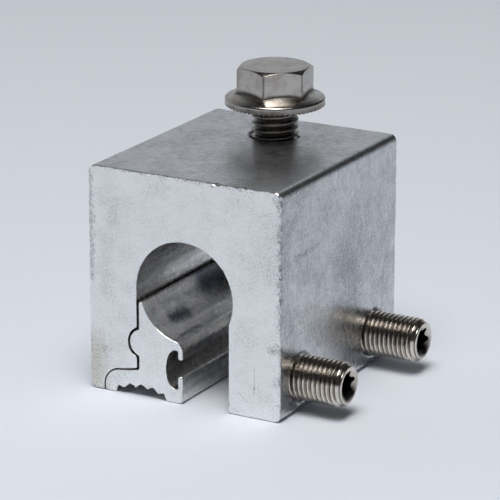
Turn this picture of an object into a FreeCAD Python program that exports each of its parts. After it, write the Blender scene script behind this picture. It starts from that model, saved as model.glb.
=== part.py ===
"""Clamp for a standing-seam metal roof.

An extruded block straddles the roof's seam. A gripping insert hangs in a keyed
recess in the block's left leg. Two round-point set screws in the right leg press
the seam against the insert, and a hex flange bolt in the top holds what is
mounted on the clamp.

Millimetres, +Z up. X runs across the seam, Y along it. The origin is the middle
of the block's underside.
"""
import FreeCAD
import Part
import math
import os

# Block
BLOCK_WIDTH = 44.45
BLOCK_LENGTH = 50.8
BLOCK_HEIGHT = 47.9
BLOCK_CORNER_RADIUS = 1.6
LEG_INNER_RADIUS = 0.8

# Seam passage through the block: round chamber above, straight neck below
CHAMBER_RADIUS = 11.2
NECK_RIGHT = 10.3
NECK_EDGE_RADIUS = 0.5

# Keyed recess in the left leg, which carries the insert
POCKET_RADIUS = 4.0
POCKET_REACH = 3.85
POCKET_HEIGHT = 1.25
POCKET_CEILING_RISE = 0.7
NOSE_RADIUS = 0.4
KEY_RADIUS = 3.4
KEY_INSET = 1.3
KEY_RISE = 5.65
KEY_EDGE_RADIUS = 0.7

# Gripping insert
SEAM_ROOM = 10.7
INSERT_SIDE_GAP = 0.55
INSERT_KEY_GAP = 0.5
INSERT_FOOT_GAP = 0.25
SADDLE_INSET = 1.0
SADDLE_WALL = 1.7
HORN_DROP = 2.85
HORN_RADIUS = 0.35
SHOULDER_RADIUS = 2.1
TOE_RADIUS = 0.9
WAIST_RADIUS = 0.6

# Groove in the insert's gripping face, between two lips
GROOVE_MIDDLE = 7.2
GROOVE_DEPTH = 3.9
GROOVE_HEIGHT = 8.3
GROOVE_HALF_WIDTH = 2.2
MOUTH_HEIGHT = 3.5
MOUTH_RISE = 0.45
LIP_THICKNESS = 1.06
LIP_TIP_FLAT = 0.06

# Serrated arch under the insert
TOE_WIDTH = 2.35
HEEL_WIDTH = 3.85
ARCH_CROWN = 2.6
ARCH_SPRING = 1.55
ARCH_TEETH = 4
ARCH_TOOTH_DEPTH = 0.85
ARCH_TOOTH_RADIUS = 0.2
ARCH_END_MARGIN = 0.65

# Hex flange bolt, M10 x 1.5
BOLT_INSET = 12.7
BOLT_DIAMETER = 9.85
BOLT_LENGTH = 16.0
BOLT_TIP_CHAMFER = 1.0
BOLT_STANDOFF = 6.7
BOLT_HOLE_GAP = 0.05
BOLT_COUNTERSINK = 0.8
HEAD_ACROSS_FLATS = 14.3
HEAD_HEIGHT = 8.3
HEAD_TURN = -18.8
HEAD_CORNER_RADIUS = 0.5
HEAD_TOP_INSET = 0.15
HEAD_CHAMFER_ANGLE = 30.0
FLANGE_DIAMETER = 21.0
FLANGE_RIM = 1.55
FLANGE_RIM_RADIUS = 0.5
FLANGE_CONE_ANGLE = 24.0
SERRATION_COUNT = 60
SERRATION_DEPTH = 0.3
SERRATION_INNER_RADIUS = 6.6

# Two set screws, 3/8-24, alike but for where they were left turned to
SCREW_DIAMETER = 9.3
SCREW_LENGTH = 20.3
FRONT_SCREW_INSET = 9.125
REAR_SCREW_INSET = 9.925
SCREW_DROP = 0.5
FRONT_SCREW_STANDOFF = 10.7
REAR_SCREW_STANDOFF = 11.8
SCREW_HOLE_GAP = 0.05
FRONT_SCREW_COUNTERSINK = 1.1
REAR_SCREW_COUNTERSINK = 0.8
SCREW_END_CHAMFER = 0.8
SCREW_END_ANGLE = 60.0
SCREW_POINT_RADIUS = 6.0
SCREW_POINT_CHAMFER = 0.65
SOCKET_LOBE_RADIUS = 2.9
SOCKET_VALLEY_RADIUS = 2.1
SOCKET_LOBE_HALF_ANGLE = 13.0
FRONT_SOCKET_TURN = 14.0
REAR_SOCKET_TURN = -6.0
SOCKET_DEPTH = 4.0
SOCKET_MOUTH_MARGIN = 0.45
SOCKET_MOUTH_DEPTH = 0.7

# How far a cutting tool runs past what it cuts, and how near an edge lies to its corner
CUT_MARGIN = 5.0
CORNER_TOLERANCE = 0.02

# Places worked out from the sizes above
LEFT = -BLOCK_WIDTH / 2
RIGHT = BLOCK_WIDTH / 2
FRONT = -BLOCK_LENGTH / 2
REAR = BLOCK_LENGTH / 2
NECK_LEFT = -CHAMBER_RADIUS
POCKET_X = NECK_LEFT - POCKET_REACH
NOSE_HEIGHT = POCKET_HEIGHT + POCKET_RADIUS + POCKET_CEILING_RISE
KEY_X = NECK_LEFT + KEY_INSET
KEY_HEIGHT = NOSE_HEIGHT + KEY_RISE
SADDLE_RADIUS = CHAMBER_RADIUS - SADDLE_INSET
CHAMBER_HEIGHT = GROOVE_MIDDLE + GROOVE_HEIGHT / 2 + SADDLE_WALL + SADDLE_RADIUS
INSERT_LEFT = NECK_LEFT + INSERT_SIDE_GAP
INSERT_FACE = NECK_RIGHT - SEAM_ROOM
FOOT_RADIUS = POCKET_RADIUS - INSERT_FOOT_GAP
TOE_X = POCKET_X - math.sqrt(FOOT_RADIUS ** 2 - POCKET_HEIGHT ** 2)
INSERT_KEY_RADIUS = KEY_RADIUS - INSERT_KEY_GAP
HORN_HEIGHT = CHAMBER_HEIGHT - HORN_DROP
LIP_INNER = INSERT_FACE - LIP_THICKNESS
LOWER_LIP = GROOVE_MIDDLE + MOUTH_RISE - MOUTH_HEIGHT / 2
UPPER_LIP = LOWER_LIP + MOUTH_HEIGHT
ARCH_LEFT = TOE_X + TOE_WIDTH
ARCH_RIGHT = INSERT_FACE - HEEL_WIDTH
BOLT_Y = REAR - BOLT_INSET
HEAD_TOP_RADIUS = HEAD_ACROSS_FLATS / 2 - HEAD_TOP_INSET
SCREW_HEIGHT = GROOVE_MIDDLE + MOUTH_RISE - SCREW_DROP
FRONT_SCREW_Y = FRONT + FRONT_SCREW_INSET
REAR_SCREW_Y = REAR - REAR_SCREW_INSET


def vector(x, y, z):
    return FreeCAD.Vector(x, y, z)


def along_seam(face, start=FRONT, length=BLOCK_LENGTH):
    """Extrude a face drawn in the X-Z plane along Y."""
    face.translate(vector(0, start, 0))
    return face.extrude(vector(0, length, 0))


def single(shape):
    """The one solid of a Boolean result, with split faces merged."""
    merged = shape.removeSplitter()
    if len(merged.Solids) != 1:
        raise ValueError("expected one solid, found %d" % len(merged.Solids))
    return merged.Solids[0]


def section_polygon(points):
    """Face in the X-Z plane from (x, z) corners."""
    corners = [vector(x, 0, z) for x, z in points]
    return Part.Face(Part.makePolygon(corners + corners[:1]))


def section_rectangle(x0, z0, x1, z1):
    return section_polygon([(x0, z0), (x1, z0), (x1, z1), (x0, z1)])


def section_disc(x, z, radius):
    circle = Part.Circle(vector(x, 0, z), vector(0, -1, 0), radius)
    return Part.Face(Part.Wire(circle.toShape()))


def overcut(face):
    """Cutting prism that runs past both ends of the block."""
    return along_seam(face, FRONT - CUT_MARGIN, BLOCK_LENGTH + 2 * CUT_MARGIN)


def runs_through(edge, corner):
    """Whether an edge runs along Y through an (x, z) corner."""
    x, z = corner
    first = edge.Vertexes[0].Point
    last = edge.Vertexes[-1].Point
    offset = max(math.hypot(end.x - x, end.z - z) for end in (first, last))
    return offset < CORNER_TOLERANCE < abs(first.y - last.y)


def round_edges(solid, radius, corners):
    """Round the edges that run along Y through the given (x, z) corners."""
    edges = [edge for corner in corners for edge in solid.Edges if runs_through(edge, corner)]
    if len(edges) != len(corners):
        raise ValueError("found %d of the edges %s" % (len(edges), corners))
    return solid.makeFillet(radius, edges).Solids[0]


def circle_height(x, centre_x, centre_z, radius, side):
    """Height where a circle crosses a vertical line, above (+1) or below (-1) its centre."""
    return centre_z + side * math.sqrt(radius ** 2 - (x - centre_x) ** 2)


def ceiling_wedge(disc_radius, neck_x):
    """Section between the pocket's disc and the neck, under the pocket's rising ceiling."""
    top = POCKET_HEIGHT + disc_radius
    return section_polygon([
        (POCKET_X, 0),
        (neck_x, 0),
        (neck_x, top + POCKET_CEILING_RISE),
        (POCKET_X, top),
    ])


def bolt_hole():
    """Bore from the block's top through to the chamber, with its countersink."""
    radius = BOLT_DIAMETER / 2 + BOLT_HOLE_GAP
    depth = BLOCK_HEIGHT - CHAMBER_HEIGHT
    bore = Part.makeCylinder(radius, depth, vector(0, BOLT_Y, CHAMBER_HEIGHT))
    sink = Part.makeCone(radius, radius + BOLT_COUNTERSINK, BOLT_COUNTERSINK,
                         vector(0, BOLT_Y, BLOCK_HEIGHT - BOLT_COUNTERSINK))
    return bore.fuse(sink)


def screw_hole(y, countersink):
    """Bore through the right leg, with its countersink."""
    radius = SCREW_DIAMETER / 2 + SCREW_HOLE_GAP
    depth = RIGHT - NECK_RIGHT + CUT_MARGIN
    outward = vector(1, 0, 0)
    bore = Part.makeCylinder(radius, depth, vector(RIGHT - depth, y, SCREW_HEIGHT), outward)
    sink = Part.makeCone(radius, radius + countersink, countersink,
                         vector(RIGHT - countersink, y, SCREW_HEIGHT), outward)
    return bore.fuse(sink)


def build_block():
    """Block with the seam passage, the insert's keyed recess and the tapped holes."""
    block = along_seam(section_rectangle(LEFT, 0, RIGHT, BLOCK_HEIGHT))
    block = round_edges(block, BLOCK_CORNER_RADIUS, [
        (LEFT, 0), (RIGHT, 0), (LEFT, BLOCK_HEIGHT), (RIGHT, BLOCK_HEIGHT)])
    passage = [
        section_disc(0, CHAMBER_HEIGHT, CHAMBER_RADIUS),
        section_rectangle(NECK_LEFT, -CUT_MARGIN, NECK_RIGHT, CHAMBER_HEIGHT),
        section_disc(KEY_X, KEY_HEIGHT, KEY_RADIUS),
        section_disc(POCKET_X, POCKET_HEIGHT, POCKET_RADIUS),
        ceiling_wedge(POCKET_RADIUS, NECK_LEFT),
    ]
    for face in passage:
        block = block.cut(overcut(face))
    block = single(block)
    key_top = circle_height(NECK_LEFT, KEY_X, KEY_HEIGHT, KEY_RADIUS, 1)
    key_bottom = circle_height(NECK_LEFT, KEY_X, KEY_HEIGHT, KEY_RADIUS, -1)
    neck_top = circle_height(NECK_RIGHT, 0, CHAMBER_HEIGHT, CHAMBER_RADIUS, -1)
    block = round_edges(block, KEY_EDGE_RADIUS, [(NECK_LEFT, key_top), (NECK_LEFT, key_bottom)])
    block = round_edges(block, NOSE_RADIUS, [(NECK_LEFT, NOSE_HEIGHT)])
    block = round_edges(block, NECK_EDGE_RADIUS, [(NECK_RIGHT, neck_top)])
    block = round_edges(block, LEG_INNER_RADIUS, [(NECK_RIGHT, 0)])
    block = block.cut(bolt_hole())
    block = block.cut(screw_hole(FRONT_SCREW_Y, FRONT_SCREW_COUNTERSINK))
    block = block.cut(screw_hole(REAR_SCREW_Y, REAR_SCREW_COUNTERSINK))
    return single(block)


def arch_points():
    """Roots and tips of the arch's teeth by turns, roots on a shallow circular arc."""
    first = ARCH_LEFT + ARCH_END_MARGIN
    last = ARCH_RIGHT - ARCH_END_MARGIN
    half_span = (last - first) / 2
    rise = ARCH_CROWN - ARCH_SPRING
    radius = (half_span ** 2 + rise ** 2) / (2 * rise)
    middle = (first + last) / 2
    step = half_span / ARCH_TEETH
    points = []
    for index in range(2 * ARCH_TEETH + 1):
        x = first + index * step
        root = circle_height(x, middle, ARCH_CROWN - radius, radius, 1)
        points.append((x, root - ARCH_TOOTH_DEPTH * (index % 2)))
    return points


def arch_section():
    """Cutting section of the serrated arch, open below."""
    shoulder = ARCH_SPRING - ARCH_TOOTH_DEPTH / 3
    start = [(ARCH_LEFT, -CUT_MARGIN), (ARCH_LEFT, 0), (ARCH_LEFT + ARCH_END_MARGIN / 2, shoulder)]
    return section_polygon(start + arch_points() + [(ARCH_RIGHT, 0), (ARCH_RIGHT, -CUT_MARGIN)])


def groove_section():
    """Oval groove behind the two lips, opened by its mouth between them."""
    floor_x = INSERT_FACE - GROOVE_DEPTH
    centre = vector(floor_x + GROOVE_HALF_WIDTH, 0, GROOVE_MIDDLE)
    top = centre + vector(0, 0, GROOVE_HEIGHT / 2)
    side = centre + vector(GROOVE_HALF_WIDTH, 0, 0)
    oval = Part.Face(Part.Wire(Part.Ellipse(top, side, centre).toShape()))
    behind_lips = section_rectangle(floor_x - CUT_MARGIN, 0, LIP_INNER, BLOCK_HEIGHT)
    mouth = section_rectangle(centre.x, LOWER_LIP, INSERT_FACE + CUT_MARGIN, UPPER_LIP)
    return oval.common(behind_lips).fuse(mouth).removeSplitter()


def insert_blank():
    """The insert's square-edged extrusion: body, foot and key, less saddle, arch and groove."""
    pieces = [
        section_disc(POCKET_X, POCKET_HEIGHT, FOOT_RADIUS),
        ceiling_wedge(FOOT_RADIUS, INSERT_LEFT),
        section_disc(KEY_X, KEY_HEIGHT, INSERT_KEY_RADIUS),
    ]
    cuts = [
        section_rectangle(LEFT, -BLOCK_HEIGHT, RIGHT, 0),
        section_disc(0, CHAMBER_HEIGHT, SADDLE_RADIUS),
        arch_section(),
        groove_section(),
    ]
    blank = along_seam(section_rectangle(INSERT_LEFT, 0, INSERT_FACE, HORN_HEIGHT))
    for face in pieces:
        blank = blank.fuse(along_seam(face))
    for face in cuts:
        blank = blank.cut(overcut(face))
    return single(blank)


def build_insert():
    """Gripping insert, with the edges that run along it rounded."""
    shoulder = circle_height(INSERT_FACE, 0, CHAMBER_HEIGHT, SADDLE_RADIUS, -1)
    horn_x = -math.sqrt(SADDLE_RADIUS ** 2 - HORN_DROP ** 2)
    lip_radius = (LIP_THICKNESS - LIP_TIP_FLAT) / 2
    waist_top = circle_height(INSERT_LEFT, KEY_X, KEY_HEIGHT, INSERT_KEY_RADIUS, -1)
    waist_bottom = POCKET_HEIGHT + FOOT_RADIUS + POCKET_CEILING_RISE
    insert = insert_blank()
    insert = round_edges(insert, SHOULDER_RADIUS, [(INSERT_FACE, shoulder)])
    insert = round_edges(insert, HORN_RADIUS, [(INSERT_LEFT, HORN_HEIGHT), (horn_x, HORN_HEIGHT)])
    for lip_end in (LOWER_LIP, UPPER_LIP):
        insert = round_edges(insert, lip_radius, [(LIP_INNER, lip_end), (INSERT_FACE, lip_end)])
    insert = round_edges(insert, TOE_RADIUS, [(INSERT_FACE, 0), (TOE_X, 0)])
    insert = round_edges(insert, ARCH_TOOTH_RADIUS, arch_points()[1::2])
    insert = round_edges(insert, WAIST_RADIUS, [(INSERT_LEFT, waist_top), (INSERT_LEFT, waist_bottom)])
    return insert


def upright_hexagon(across_flats, turn, height, corner_radius):
    """Hexagonal prism on the Z axis, standing on z = 0, with rounded upright edges."""
    radius = across_flats / 2 / math.cos(math.radians(30))
    corners = []
    for index in range(7):
        angle = math.radians(turn + 60 * index)
        corners.append(vector(radius * math.cos(angle), radius * math.sin(angle), 0))
    prism = Part.Face(Part.makePolygon(corners)).extrude(vector(0, 0, height))
    upright = [edge for edge in prism.Edges if edge.BoundBox.ZLength > height / 2]
    return prism.makeFillet(corner_radius, upright)


def straight_edges(corners):
    """Edges from each (radius, z) corner to the next, in the X-Z plane."""
    return Part.makePolygon([vector(radius, 0, z) for radius, z in corners]).Edges


def revolved(edges):
    """Solid of revolution about Z from the edges of a closed outline."""
    face = Part.Face(Part.Wire(edges))
    return face.revolve(vector(0, 0, 0), vector(0, 0, 1), 360)


def rim_point(degrees):
    """(radius, z) of a point on the round between the flange's rim and its cone."""
    angle = math.radians(degrees)
    full = math.radians(90 - FLANGE_CONE_ANGLE)
    radius = FLANGE_DIAMETER / 2 - FLANGE_RIM_RADIUS * (1 - math.cos(angle))
    z = FLANGE_RIM - FLANGE_RIM_RADIUS * (math.tan(full / 2) - math.sin(angle))
    return radius, z


def flange_and_shank():
    """Turned form of the bolt: shank with a chamfered tip, rim and coned flange top."""
    shank = BOLT_DIAMETER / 2
    rim = FLANGE_DIAMETER / 2
    cone_end = HEAD_ACROSS_FLATS / 4
    cone_top = FLANGE_RIM + (rim - cone_end) * math.tan(math.radians(FLANGE_CONE_ANGLE))
    round_end = 90 - FLANGE_CONE_ANGLE
    outline = straight_edges([
        rim_point(round_end),
        (cone_end, cone_top),
        (0, cone_top),
        (0, -BOLT_LENGTH),
        (shank - BOLT_TIP_CHAMFER, -BOLT_LENGTH),
        (shank, BOLT_TIP_CHAMFER - BOLT_LENGTH),
        (shank, 0),
        (rim, 0),
        rim_point(0),
    ])
    ends = [vector(radius, 0, z) for radius, z in map(rim_point, (0, round_end / 2, round_end))]
    outline.append(Part.Arc(*ends).toShape())
    return revolved(outline)


def hex_head():
    """Hexagon with its top corners turned off by a cone."""
    reach = HEAD_ACROSS_FLATS
    drop = (reach - HEAD_TOP_RADIUS) * math.tan(math.radians(HEAD_CHAMFER_ANGLE))
    envelope = revolved(straight_edges([
        (0, 0),
        (reach, 0),
        (reach, HEAD_HEIGHT - drop),
        (HEAD_TOP_RADIUS, HEAD_HEIGHT),
        (0, HEAD_HEIGHT),
        (0, 0),
    ]))
    prism = upright_hexagon(HEAD_ACROSS_FLATS, HEAD_TURN, HEAD_HEIGHT, HEAD_CORNER_RADIUS)
    return prism.common(envelope)


def serrations():
    """Radial ratchet grooves in the flange's underside, running out through the rim."""
    start = SERRATION_INNER_RADIUS
    length = FLANGE_DIAMETER / 2 - start + CUT_MARGIN
    half_width = math.pi * start / SERRATION_COUNT
    corners = [
        vector(start, -half_width, 0),
        vector(start, -half_width, -SERRATION_DEPTH),
        vector(start, half_width, -SERRATION_DEPTH),
        vector(start, half_width, SERRATION_DEPTH),
    ]
    groove = Part.Face(Part.makePolygon(corners + corners[:1])).extrude(vector(length, 0, 0))
    grooves = []
    for index in range(SERRATION_COUNT):
        copy = groove.copy()
        copy.rotate(vector(0, 0, 0), vector(0, 0, 1), 360 * index / SERRATION_COUNT)
        grooves.append(copy)
    return Part.makeCompound(grooves)


def build_bolt():
    """Hex flange bolt, made with its flange's underside at z = 0 and then set in place."""
    bolt = single(flange_and_shank().fuse(hex_head()).cut(serrations()))
    bolt.translate(vector(0, BOLT_Y, BLOCK_HEIGHT + BOLT_STANDOFF))
    return bolt


def socket_point(radius, degrees):
    """Point in the Y-Z plane, at a radius and an angle about the screw's axis."""
    angle = math.radians(degrees)
    return vector(0, radius * math.cos(angle), radius * math.sin(angle))


def lobed_section(turn):
    """Six-lobe outline of the socket, as twelve arcs in the Y-Z plane."""
    flank_radius = (SOCKET_LOBE_RADIUS + SOCKET_VALLEY_RADIUS) / 2
    arcs = []
    for index in range(6):
        lobe = turn + 60 * index
        start = socket_point(flank_radius, lobe - SOCKET_LOBE_HALF_ANGLE)
        end = socket_point(flank_radius, lobe + SOCKET_LOBE_HALF_ANGLE)
        after = socket_point(flank_radius, lobe + 60 - SOCKET_LOBE_HALF_ANGLE)
        arcs.append(Part.Arc(start, socket_point(SOCKET_LOBE_RADIUS, lobe), end).toShape())
        arcs.append(Part.Arc(end, socket_point(SOCKET_VALLEY_RADIUS, lobe + 30), after).toShape())
    return Part.Face(Part.Wire(arcs))


def dome_depth(radius):
    """How far the round point's sphere falls back from its tip at a radius from the axis."""
    return SCREW_POINT_RADIUS - math.sqrt(SCREW_POINT_RADIUS ** 2 - radius ** 2)


def screw_blank():
    """Turned form of a set screw along X: socket end at x = 0, round point at the far end."""
    shank = SCREW_DIAMETER / 2
    base = shank - SCREW_POINT_CHAMFER
    setback = SCREW_END_CHAMFER * math.tan(math.radians(SCREW_END_ANGLE))
    tip = vector(-SCREW_LENGTH, 0, 0)
    dome_middle = vector(dome_depth(base / 2) - SCREW_LENGTH, 0, base / 2)
    dome_base = vector(dome_depth(base) - SCREW_LENGTH, 0, base)
    straight = Part.makePolygon([
        dome_base,
        dome_base + vector(SCREW_POINT_CHAMFER, 0, SCREW_POINT_CHAMFER),
        vector(-setback, 0, shank),
        vector(0, 0, shank - SCREW_END_CHAMFER),
        vector(0, 0, 0),
        tip,
    ])
    dome = Part.Arc(tip, dome_middle, dome_base).toShape()
    outline = Part.Face(Part.Wire(straight.Edges + [dome]))
    return outline.revolve(vector(0, 0, 0), vector(1, 0, 0), 360)


def build_set_screw(y, standoff, socket_turn):
    """Round-point set screw with a six-lobe socket, standing out of the right leg at y."""
    socket = lobed_section(socket_turn).extrude(vector(-SOCKET_DEPTH, 0, 0))
    mouth = Part.makeCone(SOCKET_VALLEY_RADIUS, SOCKET_LOBE_RADIUS + SOCKET_MOUTH_MARGIN,
                          SOCKET_MOUTH_DEPTH, vector(-SOCKET_MOUTH_DEPTH, 0, 0), vector(1, 0, 0))
    screw = single(screw_blank().cut(socket).cut(mouth))
    screw.translate(vector(RIGHT + standoff, y, SCREW_HEIGHT))
    return screw


def main():
    os.makedirs("parts", exist_ok=True)
    pieces = {
        "clamp_block": build_block(),
        "gripping_insert": build_insert(),
        "flange_bolt": build_bolt(),
        "set_screw_front": build_set_screw(FRONT_SCREW_Y, FRONT_SCREW_STANDOFF, FRONT_SOCKET_TURN),
        "set_screw_rear": build_set_screw(REAR_SCREW_Y, REAR_SCREW_STANDOFF, REAR_SOCKET_TURN),
    }
    for name, solid in pieces.items():
        solid.exportStep("parts/%s.step" % name)
        print(name, solid.isValid(), round(solid.Volume, 1))


if __name__ == "__main__":
    main()
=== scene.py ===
"""Looks of a clamp for a standing-seam metal roof, in metres.

The extruded block and its gripping insert get worn, brushed aluminium and rubbed,
nicked end rims. The flange bolt and the two set screws get rolled threads, a
ratchet flange, a forged head and six-lobe sockets in warm stainless steel.
"""
import bmesh
import bpy
import math
import numpy as np
from bpy.props import FloatProperty, FloatVectorProperty, IntProperty, PointerProperty
from mathutils import Matrix, Vector
from types import SimpleNamespace


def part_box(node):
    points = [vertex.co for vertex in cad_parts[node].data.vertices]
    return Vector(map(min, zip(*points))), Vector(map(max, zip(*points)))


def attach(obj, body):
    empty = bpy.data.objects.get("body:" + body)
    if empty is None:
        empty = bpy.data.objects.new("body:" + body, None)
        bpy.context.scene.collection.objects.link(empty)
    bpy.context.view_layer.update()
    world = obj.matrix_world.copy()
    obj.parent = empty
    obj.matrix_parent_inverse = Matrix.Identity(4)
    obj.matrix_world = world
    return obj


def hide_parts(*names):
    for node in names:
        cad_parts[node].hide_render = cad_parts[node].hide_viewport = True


bl_info = {
    "name": "Seam Roof Clamp",
    "version": (1, 0, 0),
    "blender": (4, 5, 0),
    "location": "View3D > Sidebar > Roof Clamp",
    "description": "Finishes, threads and studio for a standing seam roof clamp",
    "category": "Object",
}

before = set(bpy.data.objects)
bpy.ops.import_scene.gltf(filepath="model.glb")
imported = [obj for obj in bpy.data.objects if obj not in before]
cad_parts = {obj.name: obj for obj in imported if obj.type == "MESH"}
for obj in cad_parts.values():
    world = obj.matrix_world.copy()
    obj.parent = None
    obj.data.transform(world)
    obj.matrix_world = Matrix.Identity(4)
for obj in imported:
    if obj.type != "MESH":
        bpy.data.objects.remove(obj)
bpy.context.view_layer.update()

MM = 0.001
BLOCK_LOW, BLOCK_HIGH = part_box("clamp_block")

# Points closer together than this are one point
MERGE_DISTANCE = 2e-6
# Faces turned by less than this are one flat face, and edges folded by more than the second stay sharp
FLAT_ANGLE, SHARP_ANGLE = math.radians(0.3), math.radians(32)
# Depth of a 60 degree thread as a share of its pitch
THREAD_DEPTH = 0.6134
# How close to an end plane the sawn finish starts
END_SKIN = 0.01 * MM
# Least and most that a rim widens, as shares of its width
RIM_RANGE = (-0.6, 2)
# Number of waves that a rim's width wanders in, and the longest and shortest of them
RIM_WAVES, LONG_WAVE, SHORT_WAVE = 24, 5 * MM, 0.7 * MM
# Fall-off of a nick from its middle: a share of its size and a length
NICK_SPREAD, NICK_BLUR = 1.2, 0.15 * MM
# Columns round a set screw, rows over its round point, and how far into its socket the wall turns dark with
# painted shade and dirt
SCREW_COLUMNS, TIP_ROWS, SOCKET_SHADE_LINE = 180, 8, 0.15 * MM
# Columns to each ratchet tooth of the bolt, and degrees from a corner of its hexagon of extra columns
TOOTH_COLUMNS = 7
CORNER_COLUMNS = (-2.3, -1.95, -1.5, -1.0, -0.5, 0.5, 1.0, 1.5, 1.95, 2.3)
# Rows of the ratchet, as shares of the flange's radius, and the width of the step where its teeth start
TOOTH_ROWS, TOOTH_STEP = (0.72, 0.79, 0.86, 0.93), 0.01 * MM
# How far inside its chamfer the bolt's flat tip has a row
TIP_MARGIN = 0.05 * MM
# How far the painted shade in the hexagon's foot spreads, out over the flange and up the head
FOOT_SHADE_OUT, FOOT_SHADE_UP = 0.9 * MM, 0.8 * MM

# Nicks in the front rim of the block, as X, Z and size in millimetres
FRONT_NICKS = (
    (7.6, 47.9, 0.45), (-13.5, 47.9, 0.22), (21.9, 46.6, 0.5), (22.2, 36.6, 0.25), (22.2, 32.6, 0.35),
    (22.2, 30.8, 0.42), (22.2, 26.2, 0.38), (22.2, 21.2, 0.3), (22.2, 15.2, 0.3), (22.2, 8.6, 0.28),
    (-22.2, 43.2, 0.25), (-22.2, 31.0, 0.2), (9.0, 30.0, 0.16), (-1.5, 47.9, 0.2), (14.0, 47.9, 0.2),
)
# Tarnish on the insert's saddle, each from one point to another with its width and strength, in millimetres
SADDLE_BLOTCHES = (
    ((-8.9, -1.5, 18.4), (-8.9, 5, 18.2), 6.2, 1.3), ((-6.8, -18.4, 15.6), (-6.4, -13.4, 15.4), 2.6, 1.1),
    ((-2.9, -21.7, 13.5), (-2.7, -14.5, 13.4), 0.9, 0.8), ((-9.3, 12, 19), (-9, 20, 18.5), 4.0, 0.6),
)
# Marks on the block's faces, in millimetres: handling marks, dark lines along the edges and a few broad
# darker patches. Each is a line: the two coordinates of its one end, the two of its other end, its width and
# its strength. The coordinates are X and Z on the front, Y and Z on the right and X and Y on the top.
FRONT_CLOUDY = (
    (-21.9, 24, -21.9, 46, 1.3, 0.7), (-16.5, 36.5, -16, 41, 2.2, 0.25), (-18.5, 22, -18, 32, 2.8, 0.16),
    (20.3, 15, 22, 15.4, 1.7, 0.75), (21.4, 8, 22, 9.5, 1.3, 0.6), (20.6, 46.4, 22, 44.8, 1.2, 0.7),
    (-18.8, 8.6, -17.6, 9.4, 1, 0.5), (7.6, 47.4, 8.4, 47.1, 0.5, 0.9), (-21, 47.8, 21, 47.8, 0.3, 1),
    (22.1, 2, 22.1, 45, 0.3, 0.8),
)
RIGHT_CLOUDY = (
    (-19.8, 33, -15, 33, 1.3, 1.1), (-13.5, 33.2, -9, 33.4, 0.9, 0.8), (-25, 45.4, -22, 46.2, 1.1, 1),
    (-22, 46.4, -9.5, 46.5, 0.5, 0.8), (1.5, 25, 5.5, 25.6, 2.6, 0.8), (-1.5, 24, 2, 23, 1.8, 0.5),
    (-17.5, 29, -14, 28.5, 1.9, 0.35), (-5.5, 43, -2, 43.5, 1.5, 0.3), (23.5, 33, 25.4, 33, 1.4, 0.4),
    (-25, 20, -25, 45, 1.5, 0.55), (2, 27, 6, 20, 10, 1), (-24, 44.5, -12, 46, 2.2, 0.6),
    (12, 24, 14, 21, 2.5, 0.45), (-24, 39, -17, 43, 3.5, 0.6), (-23.5, 24, -23, 36, 2.6, 0.55),
    (-20, 35, 21, 35, 14, 0.3),
)
TOP_CLOUDY = (
    (0, -25.2, 16, -25.2, 1.2, 0.4), (-20, -25.2, -4, -25.2, 0.8, 0.4), (15, -12, 19, 20, 9, 0.18),
)
FRONT_SHARP = (
    (16.2, 5.2, 16.2, 10.6, 0.13, 0.45), (16.15, 6.2, 16.2, 6.7, 0.26, 0.6),
    (12.6, 5, 14.5, 3.3, 0.16, 0.4), (17, 42.4, 19.8, 43.6, 0.14, 0.4), (12.4, 44.8, 12.6, 45.4, 0.16, 0.6),
)
RIGHT_SHARP = (
    (18.3, 18.25, 19.6, 18.2, 0.26, 1), (18.9, 18, 19.2, 15.8, 0.2, 0.35),
    (-19, 44.2, -18.8, 46, 0.25, 0.7), (-20.5, 20, -20.3, 26, 0.18, 0.5), (-12, 45.5, -11, 40.5, 0.2, 0.4),
    (19.5, 12, 20, 21, 0.7, 0.3),
)
# Marks on the rounded edge between the top and the right, as points in space. The cloudy one is a painted
# dark reflection along the whole edge.
EDGE_DARK_REFLECTION = (((21.8, -25, 47.5), (21.8, 25, 47.5), 1.2, 0.8),)
EDGE_SHARP = (((21.6, 14.8, 47.6), (22.1, 15.4, 46.9), 0.4, 1),)


def on_face(axis, corner, marks):
    """Marks of the face square to an axis at a corner of the block, with their ends as points in space."""
    place = corner[axis] / MM
    return tuple((np.insert(mark[:2], axis, place), np.insert(mark[2:4], axis, place), *mark[4:])
                 for mark in np.array(marks))


def length(name, description, value, high=1.0):
    """Length property in metres."""
    return FloatProperty(name=name, description=description, default=value, min=0.0, max=high,
                         unit="LENGTH", precision=5)


def color(name, description, value):
    """Linear colour property."""
    return FloatVectorProperty(name=name, description=description, default=value, size=3,
                               min=0.0, max=1.0, subtype="COLOR")


def factor(name, description, value, high=1.0):
    """Plain share or strength, from nothing to its highest value."""
    return FloatProperty(name=name, description=description, default=value, min=0.0, max=high)


def angle(name, description, degrees):
    """Angle property, given in degrees and kept in radians."""
    return FloatProperty(name=name, description=description, default=math.radians(degrees),
                         subtype="ANGLE")


class RoofClampRims(bpy.types.PropertyGroup):
    """Rubbed rims round the sawn ends of the block and the insert."""
    width: length("Rim width", "Width of the rubbed edge round a sawn end", 0.19 * MM, high=1 * MM)
    spacing: length("Point spacing", "Longest step between points along a rim", 0.25 * MM, high=5 * MM)
    waviness: factor("Waviness", "How much the rim's width wanders", 0.4)
    reach: length("Worn reach", "How far in from the block's outside the wear goes", 2.5 * MM, high=0.1)
    inner_wear: factor("Inner wear", "Share of the wear that the rims further in get", 0.25)
    thinning: factor("Thinning", "Share of its width that a rim without wear lacks", 0.8)
    nick_size: length("Nick size", "Deepest of the scattered nicks", 0.22 * MM, high=2 * MM)
    nick_count: IntProperty(name="Nicks", description="Scattered nicks on each end", default=16, min=1)
    seed: IntProperty(name="Seed", description="Draw of the nicks' places", default=7)


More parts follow.
